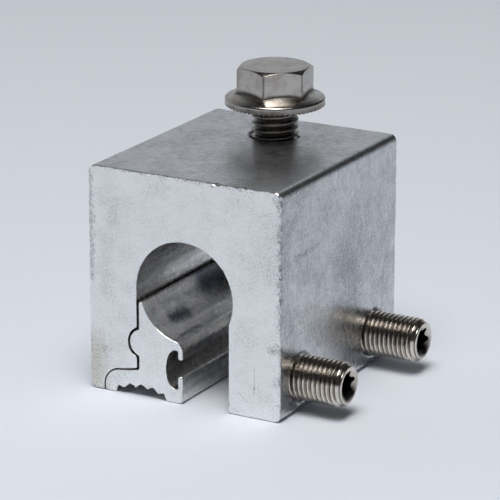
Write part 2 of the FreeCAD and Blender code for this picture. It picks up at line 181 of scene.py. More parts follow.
class RoofClampAluminium(bpy.types.PropertyGroup):
    """Colours of the extruded aluminium."""
    end_color: color("Sawn end", "Pale, matt metal of the sawn ends", (0.955, 0.965, 0.965))
    side_color: color("Extruded side", "Metal of the faces that left the die", (0.757, 0.764, 0.78))
    # Painted light: the passage's metal is paler than the sides, which brightens the shaded passage
    passage_lit_color: color("Passage", "Duller metal inside the seam passage", (0.82, 0.80, 0.775))
    rim_color: color("Rubbed rim", "Bare bright metal along the rims", (0.86, 0.86, 0.87))
    # Near-black that covers most of each rim, drawing it as a thin dark line
    rim_dark_color: color("Rim dirt", "Dirt that has settled along the rims", (0.012, 0.012, 0.013))
    # Also the colour of the painted dark reflection along the rounded edge between the top and the right
    smudge_and_shade_color: color("Smudge", "Grey handling marks", (0.30, 0.31, 0.33))
    blotch_color: color("Blotch", "Blue-grey tarnish on the insert's saddle", (0.10, 0.115, 0.145))
    stain_color: color("Stain", "Dull yellow stain low on the sawn end", (0.59, 0.56, 0.475))
    stain_height: length("Stain height", "How far up the block's corner the stain's middle goes", 8 * MM)
    stain_width: length("Stain width", "How far the stain reaches from its middle", 7 * MM)
    skin: length("Skin", "How far in from the block's outside the passage's metal starts", 2.5 * MM)
    end_roughness: factor("End roughness", "Roughness of the sawn ends", 0.52)
    side_roughness: factor("Side roughness", "Roughness of the extruded faces", 0.32)
    polish: factor("Polish", "How much smoother they are below the block's top face", 0.035)


class RoofClampSteel(bpy.types.PropertyGroup):
    """Colours of the stainless fasteners."""
    bolt_color: color("Bolt", "Warm stainless of the bolt", (0.44, 0.42, 0.395))
    screw_color: color("Set screws", "Warm stainless of the set screws", (0.72, 0.68, 0.62))
    # Near-black of the painted shade with oily dirt: thread roots, sockets, under and round the flange, the
    # hexagon's foot and its corners
    shade_and_grime_color: color("Grime", "Oily dirt in the thread roots and the sockets", (0.03, 0.027, 0.024))
    bolt_roughness: factor("Bolt roughness", "Roughness of the bolt", 0.15)
    screw_roughness: factor("Screw roughness", "Roughness of the set screws", 0.09)


class RoofClampBolt(bpy.types.PropertyGroup):
    """Sizes of the hex flange bolt that its box doesn't give."""
    pitch: length("Pitch", "Advance of the bolt's thread in one turn", 1.5 * MM)
    shank_radius: length("Shank radius", "Radius over the bolt's thread crests", 4.925 * MM)
    shank_length: length("Shank length", "Length under the flange", 16 * MM)
    tip_chamfer: length("Tip chamfer", "Chamfer at the bolt's tip", 1.0 * MM)
    neck: length("Plain neck", "Length where the thread fades under the flange", 1.1 * MM)
    fillet: length("Neck fillet", "Size of the hollow rounding under the flange", 0.25 * MM)
    across_flats: length("Across flats", "Width of the hexagon", 14.3 * MM)
    corner_radius: length("Corner radius", "Rounding of the hexagon's upright corners", 0.5 * MM)
    head_turn: angle("Head turn", "Angle of one corner from +X", -18.8)
    top_radius: length("Top radius", "Radius where the head's chamfer starts", 7.0 * MM)
    chamfer_angle: angle("Chamfer angle", "Slope of the head's chamfer", 30)
    edge_radius: length("Edge radius", "Rounding between the head's sides and its chamfer", 0.12 * MM)
    foot_radius: length("Foot radius", "Hollow rounding at the hexagon's foot", 0.4 * MM)
    rim_height: length("Rim height", "Thickness of the flange at its edge", 1.55 * MM)
    rim_radius: length("Rim radius", "Rounding on top of the rim", 0.5 * MM)
    lip: length("Lip", "Chamfer under the rim", 0.08 * MM)
    cone_angle: angle("Cone angle", "Slope of the flange's top", 24)
    teeth: IntProperty(name="Teeth", description="Ratchet teeth under the flange", default=60, min=3)
    tooth_depth: length("Tooth depth", "Depth of the ratchet teeth", 0.3 * MM)
    tooth_start: length("Tooth start", "Radius where the ratchet teeth begin", 6.6 * MM)
    thread_phase: factor("Thread phase", "Share of a pitch that the thread is turned by", 0.0)


class RoofClampScrew(bpy.types.PropertyGroup):
    """Sizes of the set screws that their boxes don't give."""
    pitch: length("Pitch", "Advance of a set screw's thread in one turn", 25.4 / 24 * MM)
    end_chamfer: length("End chamfer", "Width of the chamfer round the socket end", 0.8 * MM)
    end_angle: angle("End angle", "Slope of that chamfer from the end face", 60)
    edge_radius: length("Edge radius", "Rounding between that chamfer and the end face", 0.3 * MM)
    point_radius: length("Point radius", "Radius of the round point", 6.0 * MM)
    point_chamfer: length("Point chamfer", "Chamfer round the point", 0.65 * MM)
    lobe_radius: length("Lobe radius", "Radius over the socket's lobes", 2.9 * MM)
    valley_radius: length("Valley radius", "Radius between the socket's lobes", 2.1 * MM)
    lobe_half_angle: angle("Lobe half angle", "Half the angle that a lobe takes", 13)
    front_turn: angle("Front turn", "Angle of one lobe of the front screw from +Y", 14)
    rear_turn: angle("Rear turn", "Angle of one lobe of the rear screw from +Y", -6)
    socket_depth: length("Socket depth", "Depth of the socket", 4.0 * MM)
    mouth_radius: length("Mouth radius", "Radius of the socket's coned mouth at the end face", 3.35 * MM)
    mouth_depth: length("Mouth depth", "Depth of that cone between the lobes", 0.7 * MM)
    thread_phase: factor("Thread phase", "Share of a pitch that the thread is turned by", 0.0)


class RoofClampStage(bpy.types.PropertyGroup):
    """Floor, light and camera."""
    floor_color: color("Floor", "Pale floor", (0.735, 0.785, 0.87))
    floor_reach: length("Floor reach", "Distance from the clamp to the floor's edge", 4.0, high=20)
    horizon_color: color("Horizon", "Light from the pale room near the horizon", (0.505, 0.525, 0.55))
    ceiling_color: color("Ceiling", "Light from the dark room above", (0.035, 0.035, 0.037))
    lamp_power: FloatProperty(name="Overhead lamp", description="Power of the overhead soft box",
                              default=146.0, min=0.0, unit="POWER")
    lamp_color: color("Lamp colour", "Warm white of the soft box", (1.0, 0.98, 0.95))
    lamp_place: FloatVectorProperty(name="Lamp place", description="Middle of the overhead soft box",
                                    default=(0.18, -0.51, 1.575), size=3, subtype="XYZ", unit="LENGTH")
    lamp_size: FloatVectorProperty(name="Lamp size", description="Width and depth of the soft box",
                                   default=(1.8, 1.8), size=2, unit="LENGTH")
    lamp_softness: factor("Lamp softness", "Share of the soft box over which it fades to an edge", 0.5, 0.5)
    lamp_focus: factor("Lamp focus", "How steeply it fades there", 1.4, high=8.0)
    azimuth: angle("Azimuth", "Camera's turn round the clamp from looking along +Y", 28.905)
    elevation: angle("Elevation", "Camera's height above the horizon", 17.471)
    roll: angle("Roll", "Camera's roll", 0.134)
    distance: length("Distance", "Camera's distance from its target", 636.7 * MM, high=10)
    target: FloatVectorProperty(name="Target", description="Point that the camera looks at",
                                default=(1.138 * MM, 0.0, 26.26 * MM), size=3, subtype="XYZ", unit="LENGTH")
    lens: FloatProperty(name="Lens", description="Focal length on a 36 mm sensor", default=220.9, min=1.0)


def node(tree, kind, inputs=None, **settings):
    """Add a node, set its options, and give each named input a link or a value, opaque for a colour."""
    made = tree.nodes.new(kind)
    for key, value in settings.items():
        setattr(made, key, value)
    for key, value in (inputs or {}).items():
        socket = made.inputs[key]
        if isinstance(value, bpy.types.NodeSocket):
            tree.links.new(value, socket)
        else:
            socket.default_value = (*value, 1.0) if socket.type == "RGBA" else value
    return made


def maths(tree, operation, *values, clamp=False):
    """Output of one Math node."""
    made = node(tree, "ShaderNodeMath", dict(enumerate(values)), operation=operation, use_clamp=clamp)
    return made.outputs[0]


def vectors(tree, operation, first, second, output="Vector"):
    """Output of one Vector Math node, whose second value is a number where it scales."""
    key = "Scale" if operation == "SCALE" else 1
    return node(tree, "ShaderNodeVectorMath", {0: first, key: second}, operation=operation).outputs[output]


def ramp(tree, value, low, high, start=0.0, end=1.0):
    """Smooth step of a value from start to end as it goes from low to high."""
    return node(tree, "ShaderNodeMapRange", {
        "Value": value, "From Min": low, "From Max": high, "To Min": start, "To Max": end,
    }, interpolation_type="SMOOTHSTEP").outputs["Result"]


def blended(tree, mask, first, second):
    """Colour that goes from first to second with a mask."""
    return node(tree, "ShaderNodeMix", {"Factor": mask, 6: first, 7: second}, data_type="RGBA").outputs[2]


def weighted_sum(tree, *terms):
    """Sum of (output, weight) pairs."""
    total = 0.0
    for value, weight in terms:
        total = maths(tree, "MULTIPLY_ADD", value, weight, total)
    return total


def new_group(name, **inputs):
    """Shader node group that makes a mask from a point and named inputs: its tree and its two ends."""
    tree = bpy.data.node_groups.new(name, "ShaderNodeTree")
    tree.interface.new_socket(name="Vector", in_out="INPUT", socket_type="NodeSocketVector")
    for label, value in inputs.items():
        kind = "NodeSocketFloat" if isinstance(value, float) else "NodeSocketVector"
        tree.interface.new_socket(name=label, in_out="INPUT", socket_type=kind).default_value = value
    tree.interface.new_socket(name="Mask", in_out="OUTPUT", socket_type="NodeSocketFloat")
    return tree, tree.nodes.new("NodeGroupInput").outputs, tree.nodes.new("NodeGroupOutput").inputs["Mask"]


def clouds_group():
    """Soft blotches: fractal noise, stretched by Scale and cut between Low and High."""
    tree, given, mask = new_group("Clouds", Scale=(1, 1, 1), Detail=5.0, Low=0.4, High=0.6)
    scaled = vectors(tree, "MULTIPLY", given["Vector"], given["Scale"])
    noise = node(tree, "ShaderNodeTexNoise", {"Vector": scaled, "Scale": 1.0, "Detail": given["Detail"],
                                             "Roughness": 0.62})
    tree.links.new(ramp(tree, noise.outputs["Fac"], given["Low"], given["High"]), mask)
    return tree


def scratches_group():
    """Hairlines: where stretched noise crosses its middle value, kept only in patches."""
    tree, given, mask = new_group("Scratches", Scale=(1, 1, 1), Turn=(0, 0, 0), Width=0.006, Patches=0.55)
    turned = node(tree, "ShaderNodeVectorRotate", {"Vector": given["Vector"], "Rotation": given["Turn"]},
                  rotation_type="EULER_XYZ").outputs[0]
    scaled = vectors(tree, "MULTIPLY", turned, given["Scale"])
    noise = node(tree, "ShaderNodeTexNoise", {"Vector": scaled, "Scale": 1.0, "Detail": 1.0})
    offset = maths(tree, "ABSOLUTE", maths(tree, "SUBTRACT", noise.outputs["Fac"], 0.5))
    line = ramp(tree, offset, 0.0, given["Width"], 1.0, 0.0)
    patch = node(tree, "ShaderNodeTexNoise", {"Vector": given["Vector"], "Scale": 260.0, "Detail": 2.0})
    above = maths(tree, "ADD", given["Patches"], 0.08)
    kept = ramp(tree, patch.outputs["Fac"], given["Patches"], above)
    tree.links.new(maths(tree, "MULTIPLY", line, kept), mask)
    return tree


def specks_group():
    """Small dots: cells of a Voronoi pattern whose random value is under Share, out to Radius."""
    tree, given, mask = new_group("Specks", Scale=1500.0, Radius=0.3, Share=0.2)
    cells = node(tree, "ShaderNodeTexVoronoi", {"Vector": given["Vector"], "Scale": given["Scale"]})
    dot = ramp(tree, cells.outputs["Distance"], 0.0, given["Radius"], 1.0, 0.0)
    drawn = node(tree, "ShaderNodeSeparateColor", {"Color": cells.outputs["Color"]}).outputs["Red"]
    tree.links.new(maths(tree, "MULTIPLY", dot, maths(tree, "LESS_THAN", drawn, given["Share"])), mask)
    return tree


def stroke_group():
    """Smear along a straight line: whole on the line from Start to End, gone at Width from it.

    The nearest place on the line is start + (end - start) x clamp((p - start).(end - start) / length^2).
    """
    tree, given, mask = new_group("Stroke", Start=(0, 0, 0), End=(0, 0, 0), Width=0.001)
    offset = vectors(tree, "SUBTRACT", given["Vector"], given["Start"])
    line = vectors(tree, "SUBTRACT", given["End"], given["Start"])
    share = maths(tree, "DIVIDE", vectors(tree, "DOT_PRODUCT", offset, line, "Value"),
                  vectors(tree, "DOT_PRODUCT", line, line, "Value"), clamp=True)
    gap = vectors(tree, "DISTANCE", offset, vectors(tree, "SCALE", line, share), "Value")
    tree.links.new(ramp(tree, gap, 0.0, given["Width"], 1.0, 0.0), mask)
    return tree


EFFECTS = {"Clouds": clouds_group, "Scratches": scratches_group, "Specks": specks_group,
           "Stroke": stroke_group}


def effect(tree, name, vector, **inputs):
    """Mask of a shared effect, whose group is made once, placed in a material with its own values."""
    group = bpy.data.node_groups.get(name) or EFFECTS[name]()
    given = {key.title(): value for key, value in inputs.items()}
    return node(tree, "ShaderNodeGroup", {"Vector": vector, **given}, node_tree=group).outputs["Mask"]


def new_material(name):
    """Empty node material: its tree, its metal shader and the object coordinates."""
    material = bpy.data.materials.new(name)
    material.use_nodes = True
    tree = material.node_tree
    tree.nodes.clear()
    output = tree.nodes.new("ShaderNodeOutputMaterial")
    shader = node(tree, "ShaderNodeBsdfPrincipled", {"Metallic": 1.0})
    tree.links.new(shader.outputs["BSDF"], output.inputs["Surface"])
    point = tree.nodes.new("ShaderNodeTexCoord").outputs["Object"]
    return material, tree, shader, point


def surfaced(tree, shader, color, roughness, height=None, bump=0.0):
    """Give the shader its colour and roughness, and relief where there is a height of 0 to 1.

    The bump is how many metres the height's full range stands for.
    """
    tree.links.new(color, shader.inputs["Base Color"])
    tree.links.new(roughness, shader.inputs["Roughness"])
    if height:
        raised = node(tree, "ShaderNodeBump", {"Height": height, "Distance": bump})
        tree.links.new(raised.outputs["Normal"], shader.inputs["Normal"])


def marks_mask(tree, point, marks):
    """Sum of the strokes in a table of marks, each added before the next is drawn."""
    total = 0.0
    for start, end, width, strength in marks:
        line = {"start": Vector(start) * MM, "end": Vector(end) * MM}
        mask = effect(tree, "Stroke", point, width=width * MM, **line)
        total = maths(tree, "MULTIPLY_ADD", mask, strength, total)
    return total


def metal_grain(tree, point):
    """Masks of the aluminium's grain: clouds of several sizes and directions, hairlines and specks."""
    def cloud(scale, low, high):
        return effect(tree, "Clouds", point, scale=scale, low=low, high=high)
    return SimpleNamespace(
        mottle=cloud((520, 520, 520), 0.35, 0.68),
        fine=cloud((2600, 2600, 2600), 0.38, 0.66),
        brushed=cloud((350, 3000, 350), 0.3, 0.7),
        streaks=cloud((700, 70, 700), 0.36, 0.66),
        broad=cloud((150, 120, 140), 0.40, 0.70),
        hairs=effect(tree, "Scratches", point, scale=(900, 900, 60), turn=(0.3, 0.9, 0.2), width=0.004,
                     patches=0.58),
        dots=effect(tree, "Specks", point, scale=1500.0, radius=0.26, share=0.10))


def frayed_point(tree, point, reach):
    """Point shifted at random by up to about half of a reach, which frays what is drawn there."""
    blurred = node(tree, "ShaderNodeTexNoise", {"Vector": point, "Scale": 900.0, "Detail": 3.0})
    centred = vectors(tree, "ADD", blurred.outputs["Color"], (-0.5, -0.5, -0.5))
    return vectors(tree, "ADD", point, vectors(tree, "SCALE", centred, reach))


def side_metal(tree, grain, inner, settings):
    """Colour of the extruded faces: brushed and smudged outside, streaked along the seam passage and paler
    there as painted light.
    """
    patches = maths(tree, "MULTIPLY", grain.broad, grain.fine)
    smudged = weighted_sum(tree, (patches, 0.4), (grain.broad, 0.14), (grain.brushed, 0.34),
                           (grain.mottle, 0.14), (grain.fine, 0.16))
    streaked = weighted_sum(tree, (grain.streaks, 0.5), (grain.fine, 0.15), (grain.broad, 0.2))
    grey = node(tree, "ShaderNodeMix", {"Factor": inner, 2: smudged, 3: streaked}).outputs[0]
    # Painted light: the passage gets its own paler colour
    clean = blended(tree, inner, settings.side_color, settings.passage_lit_color)
    return blended(tree, grey, clean, settings.smudge_and_shade_color)


def sawn_metal(tree, grain, frayed, settings):
    """Colour of the sawn ends: pale and mottled, with specks, hairlines and a stain low in one corner."""
    patches = maths(tree, "MULTIPLY", grain.broad, grain.fine)
    grey = weighted_sum(tree, (patches, 0.26), (grain.fine, 0.12), (grain.dots, 0.4), (grain.hairs, 0.3))
    mottled = maths(tree, "MULTIPLY", grain.mottle, 0.10)
    sawn = blended(tree, mottled, settings.end_color, settings.side_color)
    sawn = blended(tree, grey, sawn, settings.smudge_and_shade_color)
    top = BLOCK_LOW + Vector((0, 0, settings.stain_height))
    corner = effect(tree, "Stroke", frayed, start=BLOCK_LOW, end=top, width=settings.stain_width)
    stained = maths(tree, "MULTIPLY", corner, ramp(tree, grain.fine, 0.0, 1.0, 0.45, 1.0))
    return blended(tree, stained, sawn, settings.stain_color)


def aluminium(name, settings, node_name, mark_color, cloudy, sharp=(), least=0.35, fray=3.5 * MM):
    """Worn extruded aluminium: pale mottled sawn ends, darker brushed sides, marks and stains.

    The cloudy marks have frayed edges and keep only the least share of their strength
    between the specks of a fine texture. The sharp ones are drawn as they are.
    """
    low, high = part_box(node_name)
    material, tree, shader, point = new_material(name)
    apart = node(tree, "ShaderNodeSeparateXYZ", {"Vector": point}).outputs
    along = maths(tree, "ABSOLUTE", maths(tree, "SUBTRACT", apart["Y"], (high.y + low.y) / 2))
    end = maths(tree, "GREATER_THAN", along, (high.y - low.y) / 2 - END_SKIN)
    aside = maths(tree, "LESS_THAN", maths(tree, "ABSOLUTE", apart["X"]), BLOCK_HIGH.x - settings.skin)
    below = maths(tree, "LESS_THAN", apart["Z"], BLOCK_HIGH.z - settings.skin)
    inner = maths(tree, "MULTIPLY", aside, below)

    grain = metal_grain(tree, point)
    frayed = frayed_point(tree, point, fray)
    speckle = ramp(tree, grain.fine, 0.15, 0.75, least, 1.0)
    smeared = maths(tree, "MULTIPLY", marks_mask(tree, frayed, cloudy), speckle)
    marked = maths(tree, "ADD", smeared, marks_mask(tree, point, sharp), clamp=True)
    side = side_metal(tree, grain, inner, settings)
    metal = blended(tree, end, side, sawn_metal(tree, grain, frayed, settings))
    metal = blended(tree, marked, metal, mark_color)

    def roughness(middle, less, more):
        return ramp(tree, grain.mottle, 0.0, 1.0, middle - less, middle + more)
    rough_end = roughness(settings.end_roughness, 0.05, 0.07)
    rough_side = roughness(settings.side_roughness, 0.03, 0.05)
    rough_side = weighted_sum(tree, (rough_side, 1.0), (below, -settings.polish))
    rough = node(tree, "ShaderNodeMix", {"Factor": end, 2: rough_side, 3: rough_end}).outputs[0]
    height = weighted_sum(tree, (grain.fine, 0.5), (grain.brushed, 0.3), (grain.mottle, 0.5),
                          (grain.hairs, -0.3))
    surfaced(tree, shader, metal, rough, height, 0.011 * MM)
    return material


def rim_metal(settings):
    """Rubbed rim: near-black for the most part, with patches of bare bright metal."""
    material, tree, shader, point = new_material("rubbed_rim")
    patches = effect(tree, "Clouds", point, scale=(700, 700, 700), low=0.35, high=0.46)
    metal = blended(tree, patches, settings.rim_color, settings.rim_dark_color)
    surfaced(tree, shader, metal, ramp(tree, patches, 0.0, 1.0, 0.2, 0.5))
    return material


def stainless(name, settings, base, roughness):
    """Warm stainless steel with faint handling blotches, a fine tool texture, and painted shade with grime.

    The mesh's own attribute says how much painted shade and dirt each point gets.
    """
    material, tree, shader, point = new_material(name)
    blotches = effect(tree, "Clouds", point, scale=(420, 420, 420), low=0.4, high=0.7)
    fine = effect(tree, "Clouds", point, scale=(3200, 3200, 3200), low=0.35, high=0.7)
    marks = effect(tree, "Scratches", point, scale=(1400, 1400, 120), turn=(0.8, 0.4, 0.1), width=0.006,
                   patches=0.56)
    dark = tuple(part * share for part, share in zip(base, (0.64, 0.59, 0.54)))
    amount = weighted_sum(tree, (blotches, 0.55), (fine, 0.2), (marks, 0.3))
    # Painted shade with grime from the mesh turns crevices, sockets, the flange's underside and the
    # hexagon's corners towards a near-black colour
    shade_and_grime = node(tree, "ShaderNodeAttribute", attribute_name="shade_and_grime").outputs["Fac"]
    metal = blended(tree, shade_and_grime, blended(tree, amount, base, dark), settings.shade_and_grime_color)
    dulled = ramp(tree, blotches, 0.0, 1.0, roughness - 0.03, roughness + 0.06)
    dulled = weighted_sum(tree, (dulled, 1.0), (shade_and_grime, 0.25))
    height = weighted_sum(tree, (fine, 0.6), (blotches, 0.4), (marks, -0.5))
    surfaced(tree, shader, metal, dulled, height, 0.008 * MM)
    return material


def finish_mesh(mesh):
    """Smooth shading with sharp edges kept."""
    mesh.shade_smooth()
    mesh.set_sharp_from_angle(angle=SHARP_ANGLE)


def linked(name, data):
    """New object in the scene, with its data."""
    made = bpy.data.objects.new(name, data)
    bpy.context.scene.collection.objects.link(made)
    return made


def add_piece(name, mesh, body, node_name, slot, *materials):
    """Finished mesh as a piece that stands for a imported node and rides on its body."""
    mesh.materials.clear()
    for material in materials:
        mesh.materials.append(material)
    piece = linked(name, mesh)
    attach(piece, body)
    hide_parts(node_name)
    return piece


def wander(points, rng, count, longest, shortest):
    """Smooth random value about 0 at each point: a sum of sine waves in random directions."""
    directions = rng.normal(size=(count, points.shape[1]))
    directions /= np.linalg.norm(directions, axis=1, keepdims=True)
    lengths = np.exp(rng.uniform(np.log(shortest), np.log(longest), count))
    phases = rng.uniform(0, 2 * np.pi, count)
    waves = np.sin(2 * np.pi * (points @ (directions / lengths[:, None]).T) + phases)
    return waves.sum(axis=1) / math.sqrt(count)


def rim_edges(bm, low, high):
    """Edges between an end face, square to Y, and the faces beside it."""
    def on_end(edge):
        return any(all(abs(vert.co.y - end) < MERGE_DISTANCE for vert in edge.verts) for end in (low, high))

    def parts(edge):
        return len(edge.link_faces) == 2 and sum(abs(face.normal.y) > 0.99 for face in edge.link_faces) == 1
    return [edge for edge in bm.edges if on_end(edge) and parts(edge)]


def rubbed_copy(node_name, settings, front_nicks=()):
    """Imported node's form with a narrow chamfer of uneven width round its two sawn ends.

    The chamfer's edge on the end face moves inwards along that face, and its edge on the
    side moves along Y, each by the rim width times a wandering share plus a few nicks,
    which are bell-shaped in distance from their middles. Flat faces stay flat.
    """
    low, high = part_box(node_name)
    bm = bmesh.new()
    bm.from_mesh(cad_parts[node_name].data)
    bmesh.ops.remove_doubles(bm, verts=bm.verts, dist=MERGE_DISTANCE)
    bmesh.ops.dissolve_limit(bm, angle_limit=FLAT_ANGLE, verts=bm.verts, edges=bm.edges)
    bm.normal_update()
    rims = rim_edges(bm, low.y, high.y)
    while True:
        long = [edge for edge in rims if edge.calc_length() > settings.spacing]
        if not long:
            break
        bmesh.ops.bisect_edges(bm, edges=long, cuts=1)
        rims = rim_edges(bm, low.y, high.y)
    made = bmesh.ops.bevel(bm, geom=rims, offset=settings.width, offset_type="OFFSET", segments=1,
                           profile=0.5, affect="EDGES", clamp_overlap=False)
    for face in bm.faces:
        face.material_index = 0
    for face in made["faces"]:
        face.material_index = 1
    bm.normal_update()
    mesh = bpy.data.meshes.new(node_name + "_rubbed")
    bm.to_mesh(mesh)
    bm.free()
    wear_rims(mesh, low.y, high.y, settings, front_nicks)
    finish_mesh(mesh)
    return mesh


def outer_share(flat, settings):
    """Share of the wear at points of an end: whole at the block's outside, less further in."""
    low, high = (np.array((corner.x, corner.z)) for corner in (BLOCK_LOW, BLOCK_HIGH))
    inset = np.minimum(flat - low, high - flat).min(axis=1)
    return np.where(inset < settings.reach, 1.0, settings.inner_wear)


def point_values(mesh, name):
    """Values that a mesh holds for its points, three for each."""
    values = np.zeros(len(mesh.vertices) * 3, np.float32)
    mesh.vertices.foreach_get(name, values)
    return values.reshape(-1, 3).astype(float)


def wear_rims(mesh, low, high, settings, front_nicks):
    """Vary the chamfers' widths, worked out for all points at once, and narrow those further in."""
    places = point_values(mesh, "co")
    normals = point_values(mesh, "normal")
    flat = places[:, [0, 2]].copy()
    worn = outer_share(flat, settings)
    rng = np.random.default_rng(settings.seed)
    for end, inward, placed in ((low, 1.0, front_nicks), (high, -1.0, ())):
        depth = (places[:, 1] - end) * inward
        on_face = depth < MERGE_DISTANCE
        # The chamfer's points on the side lie one width in from the end
        on_side = (depth >= MERGE_DISTANCE) & (depth < settings.width * 1.5)
        drawn = rng.choice(np.flatnonzero(on_face | on_side), settings.nick_count)
        drawn_sizes = settings.nick_size * rng.uniform(0.1, 1.0, settings.nick_count) ** 2 * worn[drawn]
        placed = np.array(placed).reshape(-1, 3) * MM
        centres = np.concatenate([flat[drawn], placed[:, :2]])
        sizes = np.concatenate([drawn_sizes, placed[:, 2]])
        for side, part in ((False, on_face), (True, on_side)):
            where = np.flatnonzero(part)
            gap = np.linalg.norm(flat[where][:, None, :] - centres[None, :, :], axis=2)
            nicks = (sizes * np.exp(-(gap / (NICK_SPREAD * sizes + NICK_BLUR)) ** 2)).max(axis=1)
            wandering = wander(flat[where], rng, RIM_WAVES, LONG_WAVE, SHORT_WAVE)
            share = settings.waviness * worn[where] * wandering - settings.thinning * (1 - worn[where])
            extra = settings.width * np.clip(share, *RIM_RANGE) + nicks
            if side:
                places[where, 1] += inward * extra
            else:
                outward = normals[where][:, [0, 2]]
                outward /= np.linalg.norm(outward, axis=1, keepdims=True)
                places[where[:, None], [[0, 2]]] -= outward * extra[:, None]
    mesh.vertices.foreach_set("co", places.astype(np.float32).ravel())
    mesh.update()


def thread_height(share, root_flat=0.14, crest_flat=0.18, softness=0.25):
    """Height of a rolled thread, 0 at its root to 1 at its crest, by the share of a pitch.

    Straight flanks rise between a flat root and a flat crest, and blend with an eased
    curve so that both are rounded.
    """
    wave = 1 - np.abs(2 * np.mod(share, 1.0) - 1)
    flank = np.clip((wave - root_flat) / (1 - root_flat - crest_flat), 0, 1)
    return (1 - softness) * flank + softness * flank * flank * (3 - 2 * flank)


def threaded_shank(angles, start, end, sizes, envelope, rows_per_pitch=16, shade_and_grime=(0.0, 0.85), root_power=6):
    """Block of rings of a screw thread: place along the axis, radius, and painted shade with grime, by row
    and by angle.

    Each row follows the helix, place = row's place + pitch x angle / full turn, held
    between start and end. The radius is the envelope less the thread's depth where the
    profile is low, so a chamfer cuts the crests off as a turning tool would. The painted shade
    with grime goes from its value at the crests to that in the roots as (1 - profile)^power.
    """
    pitch = sizes.pitch
    turns = (end - start) / pitch
    rows = np.arange(-rows_per_pitch, math.ceil(turns * rows_per_pitch) + 1) / rows_per_pitch
    helix = start + pitch * (rows[:, None] + angles[None, :] / (2 * np.pi))
    place = np.clip(helix, start, end)
    share = (place - start) / pitch - angles[None, :] / (2 * np.pi) + sizes.thread_phase
    crest, fade = envelope(place)
    full = THREAD_DEPTH * pitch * fade
    top = np.max(envelope(np.array([start, (start + end) / 2, end]))[0])
    profile = thread_height(share)
    radius = np.minimum(crest, top - full + full * profile)
    return place, radius, fade * (shade_and_grime[0] + (shade_and_grime[1] - shade_and_grime[0]) * (1 - profile) ** root_power)


def rows_of(angles, *rings):
    """Grids of place, radius and painted shade with grime, by row and by angle, from rings and blocks of
    rings.

    A ring is its place along the axis, its radius and its painted shade with grime, each a number or an
    array by angle.
    """
    grids = []
    for layer in zip(*rings):
        rows = [np.atleast_2d(part) for part in layer]
        grids.append(np.concatenate([np.broadcast_to(part, (len(part), len(angles))) for part in rows]))
    return grids


def joined_rings(name, rings, angles, origin, axis):
    """Closed surface from rings round the line through the origin along X (axis 0), Y (1) or Z (2).

    A point is origin + (place, radius cos(angle), radius sin(angle)), with these three moved on
    to start at the axis. The grid's last column lies on its first one turn on, and rows held at
    an end lie on each other, so equal points are merged afterwards.
    """
    places, radii, shade_and_grime = rows_of(angles, *rings)
    points = np.stack([places, radii * np.cos(angles), radii * np.sin(angles)], axis=-1)
    points = (np.roll(points, axis, axis=-1) + origin).reshape(-1, 3)
    index = np.arange(places.size).reshape(places.shape)
    quads = np.stack([index[:-1, :-1], index[:-1, 1:], index[1:, 1:], index[1:, :-1]], axis=-1)
    mesh = bpy.data.meshes.new(name)
    mesh.from_pydata(points, [], quads.reshape(-1, 4))
    # Each point's painted shade with grime, which the steel material reads
    shade_and_grime_layer = mesh.attributes.new("shade_and_grime", "FLOAT", "POINT")
    shade_and_grime_layer.data.foreach_set("value", shade_and_grime.astype(np.float32).ravel())
    bm = bmesh.new()
    bm.from_mesh(mesh)
    bmesh.ops.remove_doubles(bm, verts=bm.verts, dist=MERGE_DISTANCE / 2)
    bmesh.ops.recalc_face_normals(bm, faces=bm.faces)
    bm.to_mesh(mesh)
    bm.free()
    finish_mesh(mesh)
    return mesh


def rounding(corner, before, after, size, steps=4, shade_and_grime=0.0):
    """Rings round the corner of two straight lines of an outline, on a circle that touches both.

    The corner is its radius and its place along the axis. The angle before points from it
    back along the first line, and the angle after on along the second. The circle's centre
    lies size / sin(half the angle between them) from the corner, midway between them.
    """
    radius, place = corner
    side = math.copysign(math.pi / 2, after - before)
    middle = (before + after) / 2
    reach = size / abs(math.sin((after - before) / 2))
    radius = radius + reach * math.cos(middle)
    place = place + reach * math.sin(middle)
    turns = np.linspace(before - side, after - 3 * side, steps + 1)
    return [(place + size * math.sin(turn), radius + size * math.cos(turn), shade_and_grime) for turn in turns]


def from_sixth(angles, turn):
    """Angle from the nearest of six even directions, of which one is the turn."""
    return np.mod(angles - turn + math.pi / 6, math.pi / 3) - math.pi / 6


def lobe_outline(angles, turn, sizes):
    """Polar radius of a six-lobe socket: arcs bulge out at the lobes and in between them.

    Each arc's circle has its centre on its own middle line, so that it passes through
    the middle radius there and the flank radius where the arcs meet:
    centre = (middle^2 - flank^2) / (2 (middle - flank cos(half angle))).
    """
    flank = (sizes.lobe_radius + sizes.valley_radius) / 2
    turned = from_sixth(angles, turn)
    between = np.abs(turned) - math.pi / 6

    def arc(middle, half, offset, side):
        centre = (middle ** 2 - flank ** 2) / (2 * (middle - flank * math.cos(half)))
        reach = np.maximum((middle - centre) ** 2 - (centre * np.sin(offset)) ** 2, 0)
        return centre * np.cos(offset) + side * np.sqrt(reach)

    lobes = arc(sizes.lobe_radius, sizes.lobe_half_angle, turned, 1)
    valleys = arc(sizes.valley_radius, math.pi / 6 - sizes.lobe_half_angle, between, -1)
    return np.where(np.abs(turned) <= sizes.lobe_half_angle, lobes, valleys)


